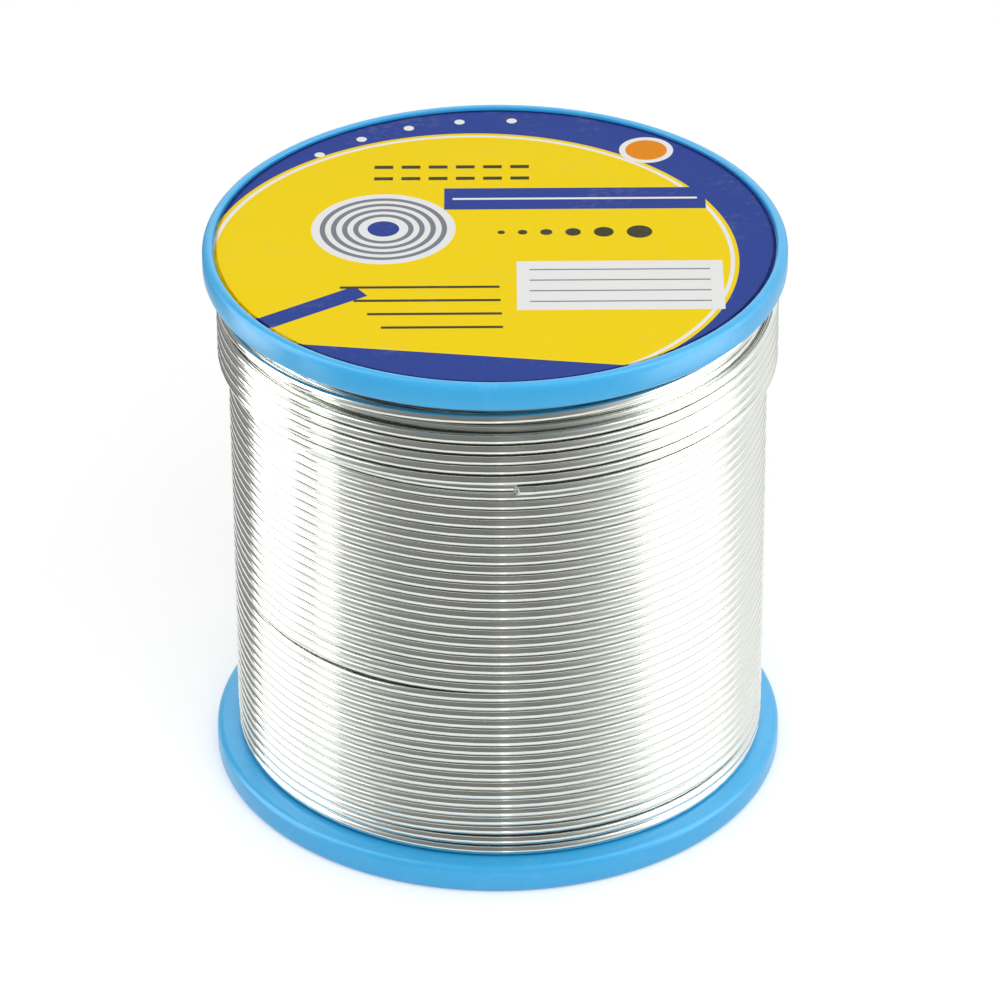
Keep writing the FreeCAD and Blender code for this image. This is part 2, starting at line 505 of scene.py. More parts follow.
def bar_mark_effect() -> bpy.types.NodeTree:
    """Make a rectangular printed mark, which may be turned.

    Returns:
        The group, which gives the ink's mask.
    """
    inputs = {"Place": None, "X": 0.0, "Y": 0.0, "Half width": 1.0, "Half height": 1.0, "Turn": 0.0}
    effect = Effect("Bar mark", inputs | {"Softness": PRINT_SOFTNESS}, "Mask")
    given = effect.given
    centre = effect.value("ShaderNodeCombineXYZ", {0: given["X"], 1: given["Y"]})
    local = effect.value("ShaderNodeVectorMath", {0: given["Place"], 1: centre}, operation="SUBTRACT")
    level = effect.value("ShaderNodeVectorRotate", {"Vector": local, "Angle": given["Turn"]})
    split = effect.add("ShaderNodeSeparateXYZ", {0: level}).outputs
    across = effect.math("SUBTRACT", effect.math("ABSOLUTE", split[0], 0.0), given["Half width"])
    along = effect.math("SUBTRACT", effect.math("ABSOLUTE", split[1], 0.0), given["Half height"])
    return effect.edge_of_ink(across, along)


@dataclass(frozen=True)
class SharedEffects:
    """The node groups that more than one finish or mark uses."""

    grain: bpy.types.NodeTree
    scuffs: bpy.types.NodeTree
    disc_mark: bpy.types.NodeTree
    bar_mark: bpy.types.NodeTree

    @classmethod
    def build(cls) -> "SharedEffects":
        """Make each group once."""
        return cls(grain_effect(), scuff_effect(), disc_mark_effect(), bar_mark_effect())


@dataclass(frozen=True)
class SpoolPlastic:
    """Satin light-blue moulded polystyrene."""

    body: Colour = (0.036, 0.440, 0.850, 1.0)
    pale: Colour = (0.055, 0.480, 0.880, 1.0)
    rubbed: Colour = (0.140, 0.570, 0.940, 1.0)
    flow_depth: float = 0.04 * MM
    satin_depth: float = 0.006 * MM

    def build(self, effects: SharedEffects) -> bpy.types.Material:
        """Make the material.

        Args:
            effects: The shared node groups.

        Returns:
            The material.
        """
        finish = Finish("light blue polystyrene")
        place = finish.place()
        flow = finish.group(effects.grain, Place=place, Scale=60.0, Roughness=0.5)
        scuffs = finish.group(effects.scuffs, Place=place, Scale=260.0, Amount=0.22)
        satin = finish.group(effects.grain, Place=place, Scale=2600.0, Roughness=0.7)
        waves = finish.group(effects.grain, Place=place, Scale=90.0, Roughness=0.3)
        finish.set(
            Base_Color=finish.mix(scuffs, finish.mix(flow, self.body, self.pale), self.rubbed),
            Roughness=finish.spread(scuffs, 0.30, 0.50),
            Normal=finish.bump(satin, self.satin_depth, Normal=finish.bump(waves, self.flow_depth)),
            IOR=1.59,
            Specular_IOR_Level=0.50,
            Subsurface_Weight=0.08,
            Subsurface_Radius=(0.4, 0.9, 1.2),
            Subsurface_Scale=0.8 * MM,
        )
        return finish.material


@dataclass(frozen=True)
class SolderAlloy:
    """Bright drawn tin-lead wire, slightly tarnished, with fine lines along it."""

    bright: Colour = (0.790, 0.805, 0.765, 1.0)
    dull: Colour = (0.690, 0.712, 0.660, 1.0)
    dent_depth: float = 0.015 * MM
    line_depth: float = 0.0012 * MM
    place_name: str = "straight_wire"

    def build(self, effects: SharedEffects) -> bpy.types.Material:
        """Make the material.

        Args:
            effects: The shared node groups.

        Returns:
            The material.
        """
        finish = Finish("drawn tin-lead wire")
        place = finish.add("ShaderNodeAttribute", attribute_name=self.place_name).outputs["Vector"]
        drawn = finish.value("ShaderNodeMapping", {"Vector": place, "Scale": (1.0, 1.0, 0.02)})
        lines = finish.group(effects.grain, Place=drawn, Scale=6000.0, Roughness=0.6)
        film = finish.value("ShaderNodeMapping", {"Vector": place, "Scale": (1.0, 1.0, 0.12)})
        tarnish = finish.group(effects.grain, Place=film, Scale=900.0, Roughness=0.65)
        dents = finish.group(effects.grain, Place=place, Scale=260.0, Roughness=0.4)
        finish.set(
            Base_Color=finish.mix(tarnish, self.bright, self.dull),
            Metallic=1.0,
            Roughness=finish.spread(tarnish, 0.06, 0.13),
            Normal=finish.bump(lines, self.line_depth, Normal=finish.bump(dents, self.dent_depth)),
        )
        return finish.material


@dataclass(frozen=True)
class FluxRosin:
    """Amber rosin in the wire's core."""

    light: Colour = (0.520, 0.270, 0.060, 1.0)
    deep: Colour = (0.240, 0.095, 0.018, 1.0)
    crumb_depth: float = 0.01 * MM

    def build(self, effects: SharedEffects) -> bpy.types.Material:
        """Make the material.

        Args:
            effects: The shared node groups.

        Returns:
            The material.
        """
        finish = Finish("amber rosin")
        crumbs = finish.group(effects.grain, Place=finish.place(), Scale=9000.0, Roughness=0.7)
        finish.set(
            Base_Color=finish.mix(crumbs, self.light, self.deep),
            Roughness=finish.spread(crumbs, 0.2, 0.5),
            Normal=finish.bump(crumbs, self.crumb_depth),
            Coat_Weight=0.3,
        )
        return finish.material


class Mark(Enum):
    """The shapes that the label's print is made of."""

    DISC = "disc"
    RING = "ring"
    BAR = "bar"


YELLOW = ink(250, 217, 8)
NAVY = ink(44, 68, 150)
ORANGE = ink(236, 142, 22)
WHITE = ink(240, 240, 238)
GREY = ink(128, 132, 142)
DARK = ink(62, 62, 40)
BARE_PAPER = ink(215, 208, 180)
PAPER_FIBRE = ink(200, 200, 190)


@dataclass(frozen=True)
class PrintMark:
    """One printed mark of the label, in millimetres from the label's middle and degrees.

    A disc or ring has its outer radius as size, and its inner one as other, which is negative for a
    disc. A bar has half of its width and half of its height.
    """

    shape: Mark
    x: float
    y: float
    size: float
    other: float
    colour: Colour
    turn: float = 0.0

    def mask(
        self, finish: Finish, effects: SharedEffects, place: bpy.types.NodeSocket
    ) -> bpy.types.NodeSocket:
        """Give the mask of the mark's ink.

        Args:
            finish: The label's finish.
            effects: The shared node groups.
            place: The place on the label.

        Returns:
            The mask.
        """
        middle = {"Place": place, "X": self.x * MM, "Y": self.y * MM}
        size, other = self.size * MM, self.other * MM
        if self.shape is Mark.BAR:
            turn = math.radians(self.turn)
            return finish.group(effects.bar_mark, **middle, Half_width=size, Half_height=other, Turn=turn)
        return finish.group(effects.disc_mark, **middle, Outer=size, Inner=other)


def label_marks() -> list[PrintMark]:
    """List the label's marks, from the lowest ink to the highest.

    Returns:
        A plain design in the colours of such labels: navy fields, a coil, a row of wire gauges
        and ruled lines to write on.
    """
    marks = [
        PrintMark(Mark.RING, -2.2, -3.4, 60.0, 25.0, NAVY),
        PrintMark(Mark.RING, -2.2, -3.4, 24.6, 24.2, WHITE),
        PrintMark(Mark.BAR, 0.0, -26.6, 27.0, 5.0, NAVY, 8.0),
        PrintMark(Mark.DISC, 14.6, 18.0, 2.6, -1.0, WHITE),
        PrintMark(Mark.DISC, 14.6, 18.0, 2.0, -1.0, ORANGE),
        PrintMark(Mark.DISC, -10.5, 2.6, 6.8, -1.0, WHITE),
        PrintMark(Mark.DISC, -10.5, 2.6, 1.5, -1.0, NAVY),
        PrintMark(Mark.BAR, 7.6, 8.4, 12.4, 2.1, NAVY),
        PrintMark(Mark.BAR, 7.6, 8.4, 11.6, 0.18, WHITE),
        PrintMark(Mark.BAR, 11.6, -8.4, 9.6, 4.6, WHITE),
        PrintMark(Mark.BAR, -17.4, -12.6, 6.0, 1.1, NAVY, -34.0),
    ]
    for turn in range(4):
        marks.append(PrintMark(Mark.RING, -10.5, 2.6, 6.0 - turn * 1.05, 5.5 - turn * 1.05, GREY))
    gauge = 0.35
    across = 0.6
    for _ in range(6):
        marks.append(PrintMark(Mark.DISC, across, 1.8, gauge, -1.0, DARK))
        across += gauge * 2.3 + 1.2
        gauge *= 1.28
    for line in range(4):
        marks.append(PrintMark(Mark.BAR, 11.6, -5.4 - line * 2.0, 8.4, 0.11, GREY))
        marks.append(PrintMark(Mark.BAR, -7.0 + line * 0.7, -8.6 - line * 2.5, 7.4 - line * 0.6, 0.22, DARK))
    for row in range(2):
        for dash in range(6):
            marks.append(PrintMark(Mark.BAR, -10.6 + dash * 2.6, 14.8 - row * 2.3, 0.9, 0.32, DARK))
    for dot in range(5):
        angle = math.radians(86 + dot * 12)
        marks.append(PrintMark(Mark.DISC, 24.2 * math.cos(angle), 24.2 * math.sin(angle), 0.5, -1.0, WHITE))
    return marks


class LabelPrint:
    """Offset print on gloss-coated paper."""

    fibre_depth = 0.008 * MM

    def build(self, effects: SharedEffects) -> bpy.types.Material:
        """Make the material, with each mark laid over the ones before it.

        Args:
            effects: The shared node groups.

        Returns:
            The material.
        """
        finish = Finish("printed label")
        place = finish.place()
        colour: object = YELLOW
        for mark in label_marks():
            colour = finish.mix(mark.mask(finish, effects, place), colour, mark.colour)
        fibres = finish.group(effects.grain, Place=place, Scale=1500.0, Roughness=0.7)
        scuffs = finish.group(effects.scuffs, Place=place, Scale=190.0, Amount=0.05)
        worn = finish.mix(scuffs, colour, BARE_PAPER)
        finish.set(
            Base_Color=finish.mix(finish.spread(fibres, 0.0, 0.012), worn, PAPER_FIBRE),
            Roughness=finish.spread(scuffs, 0.36, 0.55),
            Normal=finish.bump(fibres, self.fibre_depth),
            Specular_IOR_Level=0.03,
        )
        return finish.material


@dataclass(frozen=True)
class MouldSizes:
    """Sizes of the spool's mouldings. Those that the frame holds are read from it."""

    flange_radius: float
    rim_height: float
    overall_height: float
    joint_height: float
    spigot_length: float
    rim_width: float = 1.0 * MM
    rim_rounding: float = 0.7 * MM
    recess_rounding: float = 0.2 * MM
    recess_depth: float = 0.45 * MM
    barrel_radius: float = 13.25 * MM
    barrel_inner_radius: float = 11.25 * MM
    bore_radius: float = 6.0 * MM
    bore_tube_radius: float = 7.5 * MM
    rib_thickness: float = 1.2 * MM
    rib_rounding: float = 0.12 * MM
    rib_setback: float = 1.0 * MM
    rib_count: int = 6
    spigot_clearance: float = 0.1 * MM
    spigot_end_clearance: float = 0.3 * MM
    lug_count: int = 3
    lug_height: float = 0.3 * MM
    lug_length: float = 1.4 * MM
    lug_width: float = 6.0 * MM
    start_hole_radius: float = 1.0 * MM
    start_hole_rise: float = 1.6 * MM
    start_hole_direction: float = math.radians(30)
    sides: int = 192
    bore_sides: int = 96
    disc_margin: float = 0.1 * MM
    wall_margin: float = 0.05 * MM
    sharp_from: float = 32.0

    @classmethod
    def from_frame(cls) -> "MouldSizes":
        """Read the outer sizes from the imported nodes.

        Returns:
            The sizes, with the others at their defaults.
        """
        _, lower_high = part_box("spool_lower_half")
        upper_low, upper_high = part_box("spool_upper_half")
        core_low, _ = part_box("wound_wire_core")
        return cls(
            flange_radius=lower_high.x,
            rim_height=core_low.z,
            overall_height=upper_high.z,
            joint_height=upper_low.z,
            spigot_length=lower_high.z - upper_low.z,
        )

    @property
    def spigot_radius(self) -> float:
        """Radius of the lower half's spigot."""
        return (self.barrel_radius + self.barrel_inner_radius - self.spigot_clearance) / 2

    @property
    def socket_radius(self) -> float:
        """Radius of the upper half's socket."""
        return self.spigot_radius + self.spigot_clearance

    @property
    def lug_heights(self) -> tuple[float, float, float]:
        """Heights above the joint of a lug's low end, its crown and its high end."""
        low = self.spigot_length / 2 - self.lug_length / 2
        return low, low + self.lug_length / 4, low + self.lug_length


class SpoolMouldings:
    """The two halves of the spool: flange, half of the barrel, bore tube and ribs."""

    def __init__(self, sizes: MouldSizes) -> None:
        """Keep the sizes of the mouldings."""
        self.sizes = sizes

    def flange_blank(self, name: str) -> Workpiece:
        """Start a half: its flange with the rim's recess, and the barrel up to the joint.

        Args:
            name: The object's name.

        Returns:
            The blank, with the disc at the barrel's end selected.
        """
        sizes = self.sizes
        blank = Workpiece.cylinder(name, sizes.flange_radius, 0.0, sizes.rim_height, sizes.sides)
        blank.select_flat(0.0, -1)
        blank.inset(sizes.rim_width).raise_by(sizes.recess_depth)
        blank.inset(sizes.flange_radius - sizes.rim_width - sizes.barrel_inner_radius)
        blank.select_flat(sizes.rim_height, 1)
        blank.inset(sizes.flange_radius - sizes.barrel_radius).raise_by(sizes.joint_height - sizes.rim_height)
        return blank

    def push_lugs(self, half: Workpiece, radius: float, height: float) -> None:
        """Push the lugs out of a round wall at the height of their crowns.

        Args:
            half: The half, in edit mode.
            radius: The wall's radius.
            height: Height of the crowns.
        """
        sizes = self.sizes
        reach = sizes.lug_width / 2 / radius
        share = 2 * math.pi / sizes.lug_count

        def on_a_lug(point: bmesh.types.BMVert) -> bool:
            """Tell the points of the lugs' crowns from the others.

            Args:
                point: A point of the half.

            Returns:
                Whether it lies on the wall, at the crowns' height and within a lug's width.
            """
            place = point.co
            off_height = abs(place.z - height)
            if off_height > half.height_margin or abs(place.xy.length - radius) > sizes.wall_margin:
                return False
            angle = (math.atan2(place.y, place.x) + share / 2) % share - share / 2
            return abs(angle) < reach

        half.select("VERT", on_a_lug)
        grown = (radius + sizes.lug_height) / radius
        bpy.ops.transform.resize(value=(grown, grown, 1.0), center_override=ORIGIN)

    def finish_half(self, half: Workpiece, end_height: float) -> bpy.types.Object:
        """Open the hub, round the rim and add the bore tube and the ribs.

        Args:
            half: The half, in edit mode.
            end_height: Height of the disc inside the barrel's end.

        Returns:
            The finished half, standing on its flange's outer face.
        """
        sizes = self.sizes
        rim = sizes.flange_radius
        half.pierce(sizes.recess_depth, end_height, sizes.barrel_inner_radius + sizes.disc_margin)
        half.round_off([(rim, 0.0), (rim, sizes.rim_height)], sizes.rim_rounding, 6)
        half.round_off([(rim - sizes.rim_width, 0.0)], sizes.recess_rounding, 3)
        shell = half.done()
        combine(shell, self.bore_tube(), "UNION")
        combine(shell, self.ribs(), "UNION")
        return shell

    def bore_tube(self) -> bpy.types.Object:
        """Make the tube round the bore.

        Returns:
            The tube.
        """
        sizes = self.sizes
        low, high = sizes.recess_depth, sizes.joint_height
        tube = Workpiece.cylinder("bore_tube", sizes.bore_tube_radius, low, high, sizes.bore_sides)
        for height, facing in ((low, -1), (high, 1)):
            tube.select_flat(height, facing)
            tube.inset(sizes.bore_tube_radius - sizes.bore_radius)
        tube.pierce(low, high, sizes.bore_radius + sizes.disc_margin)
        return tube.done()

    def ribs(self) -> bpy.types.Object:
        """Make the ribs between the bore tube and the barrel.

        Returns:
            The ribs as one object.
        """
        sizes = self.sizes
        overlap = (sizes.bore_tube_radius - sizes.bore_radius) / 2
        inner = sizes.bore_tube_radius - overlap
        outer = sizes.barrel_inner_radius + overlap
        socket = sizes.spigot_length + sizes.spigot_end_clearance
        height = sizes.joint_height - socket - sizes.rib_setback - sizes.recess_depth
        ribs = []
        for index in range(sizes.rib_count):
            angle = 2 * math.pi * index / sizes.rib_count
            deselect_all()
            bpy.ops.mesh.primitive_cube_add(
                size=1.0,
                location=turned(Vector(((inner + outer) / 2, 0, sizes.recess_depth + height / 2)), angle),
                rotation=(0, 0, angle),
                scale=(outer - inner, sizes.rib_thickness, height),
            )
            rib = Workpiece(f"rib_{index}")
            bpy.ops.mesh.select_all(action="SELECT")
            bpy.ops.mesh.bevel(offset=sizes.rib_rounding, segments=2, affect="EDGES")
            ribs.append(rib.done())
        activate(*ribs)
        bpy.ops.object.join()
        return bpy.context.object

    def lower(self) -> bpy.types.Object:
        """Make the lower half, with its spigot, snap lugs and the hole for the wire's start.

        Returns:
            The lower half.
        """
        sizes = self.sizes
        half = self.flange_blank("lower_half")
        low, crown, high = sizes.lug_heights
        half.inset(sizes.barrel_radius - sizes.spigot_radius)
        for step in (low, crown - low, high - crown, sizes.spigot_length - high):
            half.raise_by(step)
        half.inset(sizes.spigot_radius - sizes.barrel_inner_radius)
        self.push_lugs(half, sizes.spigot_radius, sizes.joint_height + crown)
        shell = self.finish_half(half, sizes.joint_height + sizes.spigot_length)
        wall = sizes.barrel_radius - sizes.barrel_inner_radius
        middle = Vector((sizes.barrel_inner_radius + wall / 2, 0, sizes.rim_height + sizes.start_hole_rise))
        direction = sizes.start_hole_direction
        deselect_all()
        bpy.ops.mesh.primitive_cylinder_add(
            vertices=32,
            radius=sizes.start_hole_radius,
            depth=wall * 2,
            location=turned(middle, direction),
            rotation=(0, math.pi / 2, direction),
        )
        combine(shell, Workpiece("start_hole").done(), "DIFFERENCE")
        return shell

    def upper(self) -> bpy.types.Object:
        """Make the upper half, with its socket and lug pockets, and turn it over onto the lower one.

        Returns:
            The upper half.
        """
        sizes = self.sizes
        half = self.flange_blank("upper_half")
        low, crown, high = sizes.lug_heights
        depth = sizes.spigot_length + sizes.spigot_end_clearance
        half.inset(sizes.barrel_radius - sizes.socket_radius)
        for step in (-low, low - crown, crown - high, high - depth):
            half.raise_by(step)
        half.inset(sizes.socket_radius - sizes.barrel_inner_radius)
        self.push_lugs(half, sizes.socket_radius, sizes.joint_height - crown)
        shell = self.finish_half(half, sizes.joint_height - depth)
        activate(shell)
        middle = (0, 0, sizes.overall_height / 2)
        bpy.ops.transform.rotate(value=math.pi, orient_axis="X", center_override=middle)
        bpy.ops.object.transform_apply(location=True, rotation=True, scale=True)
        return shell

    def build(self, plastic: bpy.types.Material) -> None:
        """Make both halves and dress them.

        Args:
            plastic: The mouldings' finish.
        """
        for shell, name, node in (
            (self.lower(), "lower_moulding", "spool_lower_half"),
            (self.upper(), "upper_moulding", "spool_upper_half"),
        ):
            shade(shell, self.sizes.sharp_from)
            dress(shell, name, plastic, node)


class Label:
    """The printed disc that is stuck in the upper flange's recess."""

    edge_rounding = 0.04 * MM
    edge_width = 0.3 * MM
    sides = 192
    sharp_from = 16.0

    def build(self, print_finish: bpy.types.Material) -> None:
        """Make the disc and dress it.

        Args:
            print_finish: The printed paper.
        """
        low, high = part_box("disc_label")
        disc = Workpiece.cylinder("label", high.x, low.z, high.z, self.sides)
        disc.round_off([(high.x, high.z)], self.edge_rounding, 2)
        disc.select_flat(high.z, 1)
        piece = disc.inset(self.edge_width).done()
        shade(piece, self.sharp_from)
        dress(piece, "printed_label", print_finish, "disc_label")


@dataclass(frozen=True)
class LooseBundle:
    """Turns that lie tight on one side of the spool and lower on the other, with a gap above them."""

    first: float
    last: float
    gap: float
    bearing: float
    reach: float
    easing = 0.4

    def lift(self, turn: float, bearing: float) -> float:
        """How far the bundle has lifted the wire.

        Args:
            turn: Turns from the wire's start.
            bearing: Direction round the spool, in radians from its front towards its right.

        Returns:
            The lift: nothing below the bundle, all of the gap above it, and in it what the direction gives.
        """
        share = smooth_step(0.5 + math.sin(bearing - self.bearing) / (2 * math.sin(self.reach)))
        entered = smooth_step((turn - self.first) / self.easing)
        passed = smooth_step((turn - self.last) / self.easing)
        return self.gap * (share * entered + (1 - share) * passed)


@dataclass(frozen=True)
class WirePath:
    """Centre line of the outer wire: up the last full layer, over the climb and down the started layer.

    It is followed in turns, clockwise seen from above. It starts behind the spool, where the wire comes up
    from the layer below. The tables give heights in millimetres: by turns from the start in the full layer,
    and by turns left to the cut end in the started one.
    """

    low: float
    high: float
    wire_radius: float = 0.488 * MM
    full_radius: float = 25.1 * MM
    started_radius: float = 26.07 * MM
    sunk_radii: float = 2.1
    aside: float = 0.21 * MM
    play: float = 0.03 * MM
    turns: float = 55.5
    emerging_turns: float = 0.25
    full_turns: float = 48.85
    climb_turns: float = 0.50
    settling_turns: float = 0.3
    full_corner: float = 0.10
    started_corner: float = 0.03
    wandering: float = 0.014 * MM
    calm_turns: float = 3.0
    tip_direction: float = math.radians(-86.4)
    steps_per_turn: int = 80
    bundles: tuple[LooseBundle, ...] = (
        LooseBundle(1.3, 18.20, 0.26 * MM, math.radians(-13), math.radians(20)),
        LooseBundle(2.3, 20.20, 0.08 * MM, math.radians(-20), math.radians(14)),
        LooseBundle(29.1, 35.4, 0.03 * MM, math.radians(150), math.radians(30)),
    )
    full_heights: Stations = ((0.0, 3.318), (0.40, 3.318), (39.51, 42.31), (48.75, 51.70), (48.85, 51.75))
    started_heights: Stations = (
        (0.00, 43.77), (1.00, 44.92), (2.00, 46.03), (3.00, 47.06), (4.00, 48.17),
        (5.00, 49.27), (5.80, 50.42), (5.94, 51.31), (6.00, 51.43), (6.20, 52.28),
    )

    @property
    def lowest(self) -> float:
        """Height of the centre line in the turn on the lower flange."""
        return self.low + self.wire_radius + self.play

    @property
    def highest(self) -> float:
        """Height of the centre line in the turn under the upper flange."""
        return self.high - self.wire_radius - self.play

    def angle(self, turn: float) -> float:
        """Direction from the X axis after a number of turns, in radians."""
        return self.tip_direction + 2 * math.pi * (self.turns - turn)

    def wander(self, turn: float) -> float:
        """Give the small wandering of the wire along the spool, which dies out at the flanges.

        Args:
            turn: Turns from the wire's start.

        Returns:
            How far the wire lies above its even course.
        """
        waves = (0.40, 0.37, 0.0), (0.30, 1.73, 0.9), (0.20, 4.31, 2.1), (0.10, 9.17, 0.3)
        total = sum(share * math.sin(2 * math.pi * rate * turn + phase) for share, rate, phase in waves)
        ends = min(turn, self.full_turns - turn, self.calm_turns) / self.calm_turns
        return self.wandering * total * max(ends, 0.0)

    def full_height(self, turn: float) -> float:
        """Height of the centre line in the full layer."""
        lift = sum(bundle.lift(turn, self.angle(turn) + math.pi / 2) for bundle in self.bundles)
        return soft_line(self.full_heights, turn, self.full_corner) * MM + lift + self.wander(turn)

    def height(self, turn: float) -> float:
        """Give the centre line's height, on the way from the full layer over into the started one.

        Args:
            turn: Turns from the wire's start.

        Returns:
            The height.
        """
        if turn <= self.full_turns:
            return self.full_height(turn)
        settled = smooth_step((turn - self.full_turns) / self.settling_turns)
        started = soft_line(self.started_heights, self.turns - turn, self.started_corner) * MM
        return self.highest * (1 - settled) + started * settled

    def radius(self, turn: float) -> float:
        """Give the centre line's radius, with its rise from the layer below and its climb to the next.

        Args:
            turn: Turns from the wire's start.

        Returns:
            The radius.
        """
        share = smooth_step((turn - self.full_turns) / self.climb_turns)
        sunk = 1 - smooth_step(turn / self.emerging_turns)
        waves = (0.010 * MM, 2.63), (0.008 * MM, 5.41)
        seat = sum(size * math.sin(2 * math.pi * rate * turn) for size, rate in waves)
        climbed = self.full_radius + (self.started_radius - self.full_radius) * share
        return climbed - self.sunk_radii * self.wire_radius * sunk + seat

    def point(self, turn: float) -> Vector:
        """Give a point of the centre line.

        Args:
            turn: Turns from the wire's start.

        Returns:
            The point.
        """
        angle = self.angle(turn)
        radius = self.radius(turn)
        return Vector((self.aside + radius * math.cos(angle), radius * math.sin(angle), self.height(turn)))

    def direction(self, turn: float, step: float = 0.001) -> Vector:
        """Unit direction of the wire after a number of turns."""
        return (self.point(turn + step) - self.point(turn - step)).normalized()


class SolderWire:
    """The wire: its inner layers, the outer winding, the cut end with its flux, and its start in the hub."""

    section_sides = 16
    place_name = "straight_wire"
    end_length = 1.6 * MM
    end_squeeze = (0.90, 1.06, 1.0)
    cut_slant = math.radians(-32)
    cut_edge = 0.05 * MM
    flux_radius = 0.185 * MM
    flux_depth = 0.12 * MM
    bead_depth = 0.16 * MM
    bead_squash = (1.0, 1.0, 0.6)
    sharp_from = 40.0
    inner_spacing = 2.04
    inner_drop = 2.2
    inner_steps = 64
    inner_sides = 8
    start_bend = 1.2 * MM
    start_lead = 0.05 * MM
    bend_steps = 12

    def __init__(self, path: WirePath, mould: MouldSizes, alloy: bpy.types.Material) -> None:
        """Keep what all of the wire shares.

        Args:
            path: Centre line of the outer wire.
            mould: Sizes of the mouldings.
            alloy: The wire's finish.
        """
        self.path = path
        self.mould = mould
        self.alloy = alloy
        self.last_turn = path.turns - self.end_length / (2 * math.pi * path.started_radius)

    def tube(self, name: str, points: Sequence[Vector], node: str) -> None:
        """Make a round wire along a chain of points, and dress it.

        Each point of its mesh keeps its place along and round the wire before it was wound.

        Args:
            name: The piece's name.
            points: Points of the centre line.
            node: The node that it replaces.
        """
        deselect_all()
        curve = bpy.data.curves.new(name, "CURVE")
        curve.dimensions = "3D"
        curve.bevel_depth = self.path.wire_radius
        curve.bevel_resolution = self.section_sides // 2 - 2
        curve.use_fill_caps = True
        line = curve.splines.new("POLY")
        line.points.add(len(points) - 1)
        for knot, place in zip(line.points, points):
            knot.co = (*place, 1.0)
        activate(add_object(name, curve))
        bpy.ops.object.convert(target="MESH")
        bpy.ops.object.shade_smooth()
        wire = bpy.context.object
        along = [0.0]
        for here, there in zip(points, points[1:]):
            along.append(along[-1] + (there - here).length)
        attribute = wire.data.attributes.new(self.place_name, "FLOAT_VECTOR", "POINT")
        radius = self.path.wire_radius
        for index, stored in enumerate(attribute.data):
            ring = min(index // self.section_sides, len(points) - 1)
            angle = 2 * math.pi * (index % self.section_sides) / self.section_sides
            stored.vector = (radius * math.cos(angle), radius * math.sin(angle), along[ring])
        dress(wire, name, self.alloy, node)

    def outer_winding(self) -> None:
        """Wind the outer layer and the started layer as one unbroken wire."""
        count = round(self.last_turn * self.path.steps_per_turn)
        points = [self.path.point(self.last_turn * index / count) for index in range(count + 1)]
        self.tube("outer_winding", points, "wound_wire_outer")

    def cut_end(self, rosin: bpy.types.Material) -> None:
        """Make the wire's cut end, flattened and slanted by the cutters, and the flux in it.

        Args:
            rosin: The flux's finish.
        """
        radius = self.path.wire_radius
        length = self.end_length
        start = self.path.point(self.last_turn)
        direction = self.path.direction(self.last_turn)
        outwards = Vector((start.x, start.y, 0)).normalized()
        turn = Matrix((outwards, direction.cross(outwards), direction)).transposed().to_4x4()
        place = Matrix.Translation(start) @ turn
        end = Workpiece.cylinder("cut_end", radius, 0.0, length, 24)
        end.select_flat(length, 1)
        bpy.ops.transform.resize(value=self.end_squeeze, center_override=(0, 0, length))
        bpy.ops.transform.rotate(value=self.cut_slant, orient_axis="Y", center_override=(0, 0, length))
        end.inset(self.cut_edge).inset(radius - self.flux_radius - self.cut_edge).raise_by(-self.flux_depth)
        stub = end.done()
        stub.data.transform(place)
        shade(stub, self.sharp_from)
        dress(stub, "cut_end", self.alloy, "wire_free_end")
        deselect_all()
        bpy.ops.mesh.primitive_uv_sphere_add(segments=20, ring_count=12, radius=self.flux_radius)
        bead = Workpiece("flux")
        bead.select("VERT", lambda point: point.co.z > self.flux_radius / 2)
        bpy.ops.transform.resize(value=self.bead_squash, center_override=ORIGIN)
        flux = bead.done()
        flux.data.transform(place @ Matrix.Translation((0, 0, length - self.bead_depth)))
        dress(flux, "flux_core_bead", rosin, "flux_core")

    def inner_layers(self) -> None:
        """Wind the layer beneath the outer one, which shows in the gaps."""
        path = self.path
        turns = round((path.highest - path.lowest) / (self.inner_spacing * path.wire_radius))
        radius = path.full_radius - self.inner_drop * path.wire_radius
        deselect_all()
        bpy.ops.mesh.primitive_circle_add(
            vertices=self.inner_sides,
            radius=path.wire_radius,
            location=(radius, 0, path.lowest),
            rotation=(math.pi / 2, 0, 0),
        )
        layer = Workpiece("inner_layers").done()
        activate(layer)
        screw = layer.modifiers.new("wound", "SCREW")
        screw.axis = "Z"
        screw.angle = 2 * math.pi
        screw.screw_offset = (path.highest - path.lowest) / turns
        screw.iterations = turns
        screw.steps = self.inner_steps
        screw.render_steps = self.inner_steps
        screw.use_normal_calculate = True
        bpy.ops.object.modifier_apply(modifier=screw.name)
        bpy.ops.object.mode_set(mode="EDIT")
        bpy.ops.mesh.select_all(action="SELECT")
        bpy.ops.mesh.remove_doubles(threshold=0.001 * MM)
        bpy.ops.mesh.fill_holes(sides=0)
        bpy.ops.mesh.normals_make_consistent(inside=False)
        bpy.ops.transform.translate(value=(path.aside, 0, 0))
        bpy.ops.object.mode_set(mode="OBJECT")
        bpy.ops.object.shade_smooth()
        dress(layer, "inner_layers", self.alloy, "wound_wire_core")

